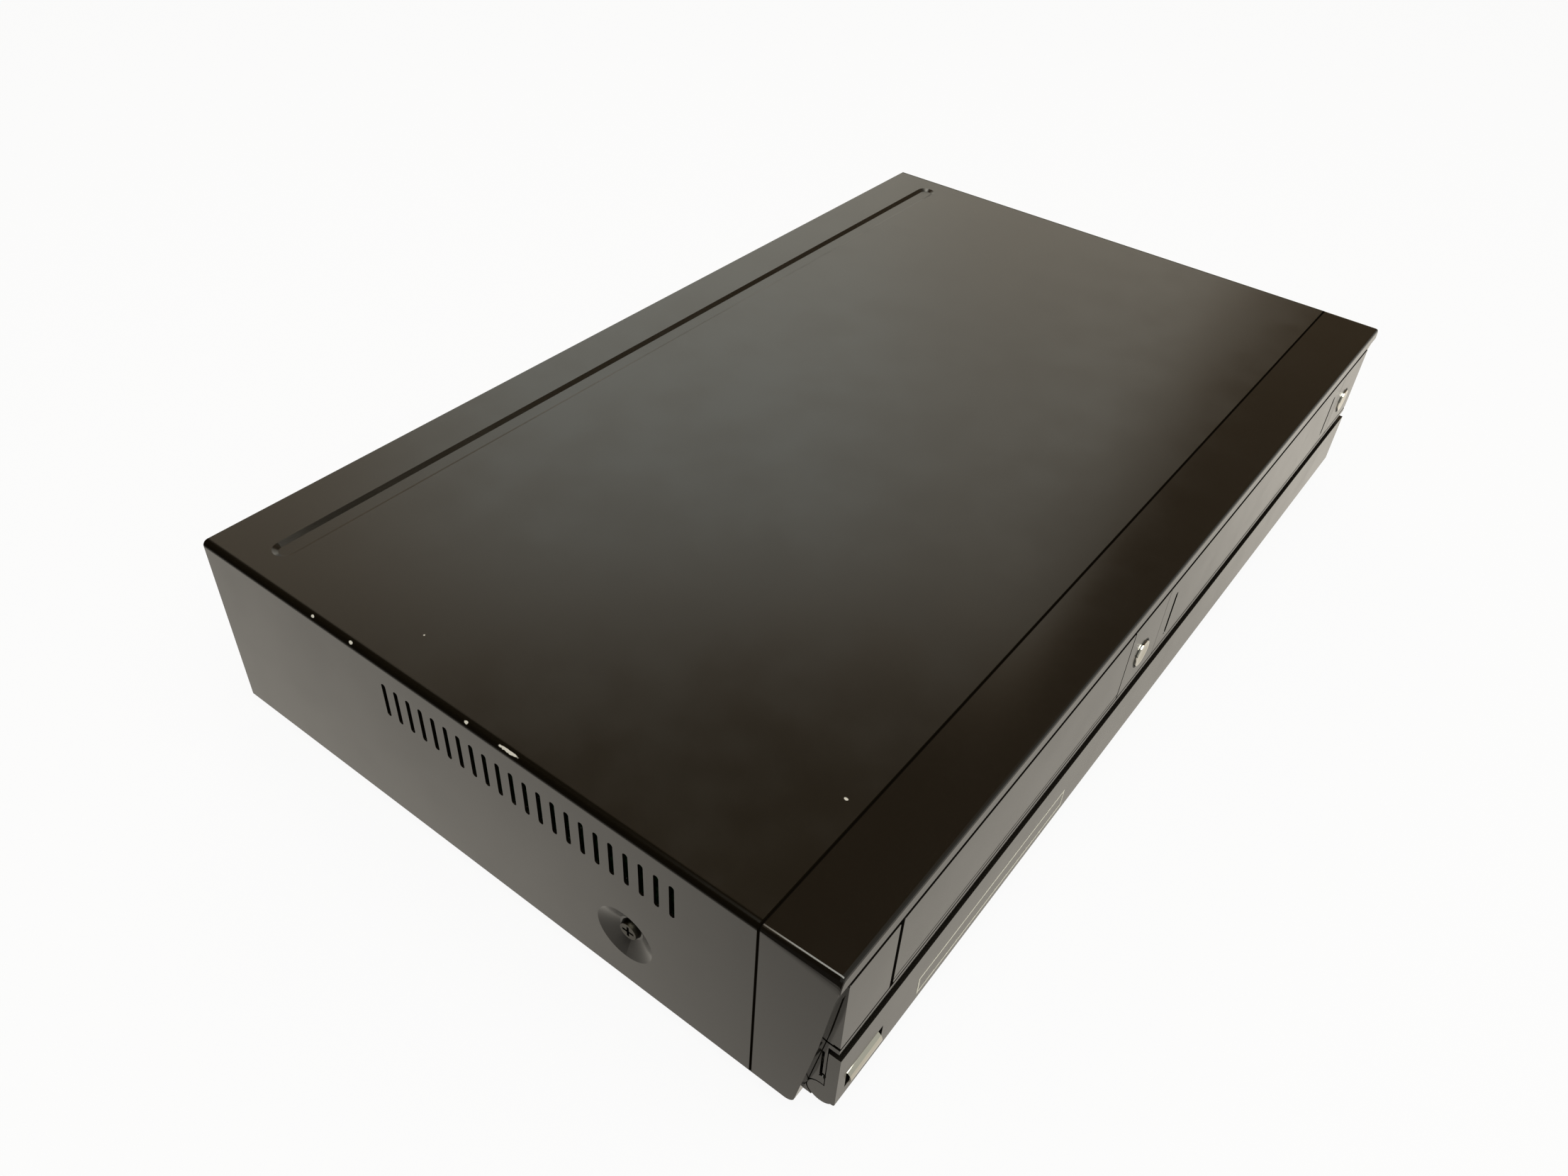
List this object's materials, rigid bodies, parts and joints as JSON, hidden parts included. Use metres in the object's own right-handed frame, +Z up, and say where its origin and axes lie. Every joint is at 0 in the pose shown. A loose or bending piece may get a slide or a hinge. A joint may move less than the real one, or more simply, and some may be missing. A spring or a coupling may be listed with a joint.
{
  "type": "dvd vcr combo player",
  "caption": "Low box-shaped disc and cassette player with a sliding disc tray, a hinged cassette flap, a flip-down front door and round eject buttons.",
  "frame": {"origin": "middle of the footprint, on the surface under the feet", "axes": "+X to the right seen from the front, -Y out of the front, +Z up"},
  "size_m": [0.43, 0.2706, 0.0785],
  "materials": {
    "cover_steel": "satin",
    "zinc_steel": "satin",
    "foot_plastic": "matte",
    "black_screw": "satin",
    "bezel_gloss": "gloss",
    "panel_plastic": "satin",
    "inner_plastic": "matte",
    "jack_metal": "satin",
    "circuit_board": "satin",
    "power_board": "matte",
    "transformer": "satin",
    "capacitor": "gloss",
    "heat_sink": "satin",
    "jack_plastic": "satin",
    "black_plastic": "satin",
    "motor_steel": "satin",
    "drum_aluminium": "polished",
    "polished_steel": "polished",
    "ribbon": "matte",
    "gear_nylon": "satin",
    "sled_metal": "satin",
    "carriage_steel": "satin",
    "rubber": "matte",
    "chrome_trim": "polished"
  },
  "bodies": {
    "chassis": {"top_cover": "cover_steel", "chassis_pan": "zinc_steel", "support_posts": "zinc_steel", "rear_panel": "zinc_steel", "feet": "foot_plastic", "cover_screws": "black_screw", "front_bezel": "bezel_gloss", "badge_panel": "panel_plastic", "centre_panel": "panel_plastic", "right_panel": "panel_plastic", "control_panel": "inner_plastic", "front_jacks": "jack_metal", "front_board": "circuit_board", "main_board": "circuit_board", "power_board": "power_board", "transformer": "transformer", "capacitors": "capacitor", "heat_sink": "heat_sink", "tuner": "zinc_steel", "rear_jacks": "jack_plastic", "scart_sockets": "black_plastic", "mains_inlet": "black_plastic", "fan_frame": "black_plastic", "dvd_housing": "inner_plastic", "clamp_bridge": "zinc_steel", "drive_motors": "motor_steel", "deck_plate": "zinc_steel", "deck_brackets": "zinc_steel", "lower_drum": "drum_aluminium", "tape_path": "polished_steel", "ribbon_cables": "ribbon"},
    "tray": {"disc_tray": "black_plastic", "tray_door": "panel_plastic"},
    "tray_pinion": {"tray_pinion": "gear_nylon"},
    "loader": {"loader_base": "zinc_steel", "loader_motors": "motor_steel", "sled_rods": "polished_steel"},
    "turntable": {"turntable": "black_plastic"},
    "sled": {"laser_sled": "sled_metal"},
    "sled_screw": {"sled_screw": "polished_steel"},
    "clamp_puck": {"clamp_puck": "black_plastic"},
    "carriage": {"carriage": "carriage_steel"},
    "carriage_gear": {"carriage_gear": "gear_nylon"},
    "flap": {"vcr_flap": "panel_plastic"},
    "head_drum": {"head_drum": "drum_aluminium"},
    "capstan": {"capstan": "polished_steel"},
    "pinch_arm": {"pinch_arm": "zinc_steel"},
    "pinch_roller": {"pinch_roller": "rubber"},
    "reel_supply": {"reel_supply": "gear_nylon"},
    "reel_takeup": {"reel_takeup": "gear_nylon"},
    "post_left": {"post_left": "polished_steel"},
    "post_right": {"post_right": "polished_steel"},
    "fan": {"fan_rotor": "black_plastic"},
    "door": {"flip_door": "panel_plastic"},
    "power": {"power_button": "chrome_trim"},
    "dvd_eject": {"dvd_eject_button": "chrome_trim"},
    "vcr_eject": {"vcr_eject_button": "chrome_trim"},
    "key_rewind": {"key_rewind": "inner_plastic"},
    "key_play": {"key_play": "inner_plastic"},
    "key_stop": {"key_stop": "inner_plastic"}
  },
  "joints": [
    {"name": "tray_slide", "type": "slide", "parent": "chassis", "child": "tray", "axis": [0, -1, 0], "range_m": [0, 0.135]},
    {"name": "tray_pinion_turn", "type": "hinge", "parent": "chassis", "child": "tray_pinion", "pos_m": [-0.06425, -0.0965, 0.048], "axis": [0, 0, -1], "range_deg": [0, 775]},
    {"name": "loader_lift", "type": "hinge", "parent": "chassis", "child": "loader", "pos_m": [-0.11325, 0.0415, 0.044], "axis": [-1, 0, 0], "range_deg": [0, 6.6]},
    {"name": "turntable_turn", "type": "hinge", "parent": "loader", "child": "turntable", "pos_m": [-0.11325, -0.05982, 0.03228], "axis": [0, -0.1149, 0.9934], "continuous": true},
    {"name": "sled_slide", "type": "slide", "parent": "loader", "child": "sled", "axis": [0, 0.9934, 0.1149], "range_m": [0, 0.034]},
    {"name": "sled_screw_turn", "type": "hinge", "parent": "loader", "child": "sled_screw", "pos_m": [-0.07525, -0.00863, 0.04223], "axis": [0, 0.9934, 0.1149], "continuous": true},
    {"name": "puck_turn", "type": "hinge", "parent": "chassis", "child": "clamp_puck", "pos_m": [-0.11325, -0.0605, 0.062], "axis": [0, 0, 1], "continuous": true},
    {"name": "carriage_run", "type": "slide", "parent": "chassis", "child": "carriage", "axis": [0, 0.8944, -0.4472], "range_m": [0, 0.02907]},
    {"name": "carriage_gear_turn", "type": "hinge", "parent": "chassis", "child": "carriage_gear", "pos_m": [0.18, -0.04208, 0.03685], "axis": [-1, 0, 0], "range_deg": [0, 208.49]},
    {"name": "flap_swing", "type": "hinge", "parent": "chassis", "child": "flap", "pos_m": [0.083, -0.1295, 0.0686], "axis": [1, 0, 0], "range_deg": [0, 88], "stiffness_Nm_per_rad": 0.004, "springref_deg": -17.19},
    {"name": "drum_turn", "type": "hinge", "parent": "chassis", "child": "head_drum", "pos_m": [0.083, 0.0585, 0.027], "axis": [0, -0.1045, 0.9945], "continuous": true},
    {"name": "capstan_turn", "type": "hinge", "parent": "chassis", "child": "capstan", "pos_m": [0.143, 0.0315, 0.03], "axis": [0, 0, 1], "continuous": true},
    {"name": "pinch_swing", "type": "hinge", "parent": "chassis", "child": "pinch_arm", "pos_m": [0.168, 0.0415, 0.03], "axis": [0, 0, 1], "range_deg": [0, 29.5], "stiffness_Nm_per_rad": 0.02, "springref_deg": -11.46},
    {"name": "pinch_roller_turn", "type": "hinge", "parent": "pinch_arm", "child": "pinch_roller", "pos_m": [0.15008, 0.0465, 0.038], "axis": [0, 0, 1], "continuous": true},
    {"name": "supply_turn", "type": "hinge", "parent": "chassis", "child": "reel_supply", "pos_m": [0.037, -0.0365, 0.03], "axis": [0, 0, 1], "continuous": true},
    {"name": "takeup_turn", "type": "hinge", "parent": "chassis", "child": "reel_takeup", "pos_m": [0.129, -0.0365, 0.03], "axis": [0, 0, 1], "continuous": true},
    {"name": "post_left_slide", "type": "slide", "parent": "chassis", "child": "post_left", "axis": [-0.2588, 0.9659, 0], "range_m": [0, 0.043]},
    {"name": "post_right_slide", "type": "slide", "parent": "chassis", "child": "post_right", "axis": [0.2588, 0.9659, 0], "range_m": [0, 0.043]},
    {"name": "fan_turn", "type": "hinge", "parent": "chassis", "child": "fan", "pos_m": [-0.08, 0.1195, 0.0425], "axis": [0, 1, 0], "continuous": true},
    {"name": "door_flip", "type": "hinge", "parent": "chassis", "child": "door", "pos_m": [0, -0.129, 0.011], "axis": [1, 0, 0], "range_deg": [0, 90]},
    {"name": "power_press", "type": "slide", "parent": "chassis", "child": "power", "axis": [0, 1, 0], "range_m": [0, 0.001], "stiffness_N_per_m": 300, "springref_m": -0.0005},
    {"name": "dvd_eject_press", "type": "slide", "parent": "chassis", "child": "dvd_eject", "axis": [0, 1, 0], "range_m": [0, 0.001], "stiffness_N_per_m": 300, "springref_m": -0.0005},
    {"name": "vcr_eject_press", "type": "slide", "parent": "chassis", "child": "vcr_eject", "axis": [0, 1, 0], "range_m": [0, 0.001], "stiffness_N_per_m": 300, "springref_m": -0.0005},
    {"name": "key_rewind_press", "type": "slide", "parent": "chassis", "child": "key_rewind", "axis": [0, 1, 0], "range_m": [0, 0.001], "stiffness_N_per_m": 300, "springref_m": -0.0005},
    {"name": "key_play_press", "type": "slide", "parent": "chassis", "child": "key_play", "axis": [0, 1, 0], "range_m": [0, 0.001], "stiffness_N_per_m": 300, "springref_m": -0.0005},
    {"name": "key_stop_press", "type": "slide", "parent": "chassis", "child": "key_stop", "axis": [0, 1, 0], "range_m": [0, 0.001], "stiffness_N_per_m": 300, "springref_m": -0.0005}
  ],
  "couplings": [
    {"joint": "tray_pinion_turn", "follows": "tray_slide", "rad_per_m": 100},
    {"joint": "sled_screw_turn", "follows": "sled_slide", "rad_per_m": 2094.4},
    {"joint": "carriage_gear_turn", "follows": "carriage_run", "rad_per_m": 125},
    {"joint": "post_right_slide", "follows": "post_left_slide", "ratio": 1}
  ]
}
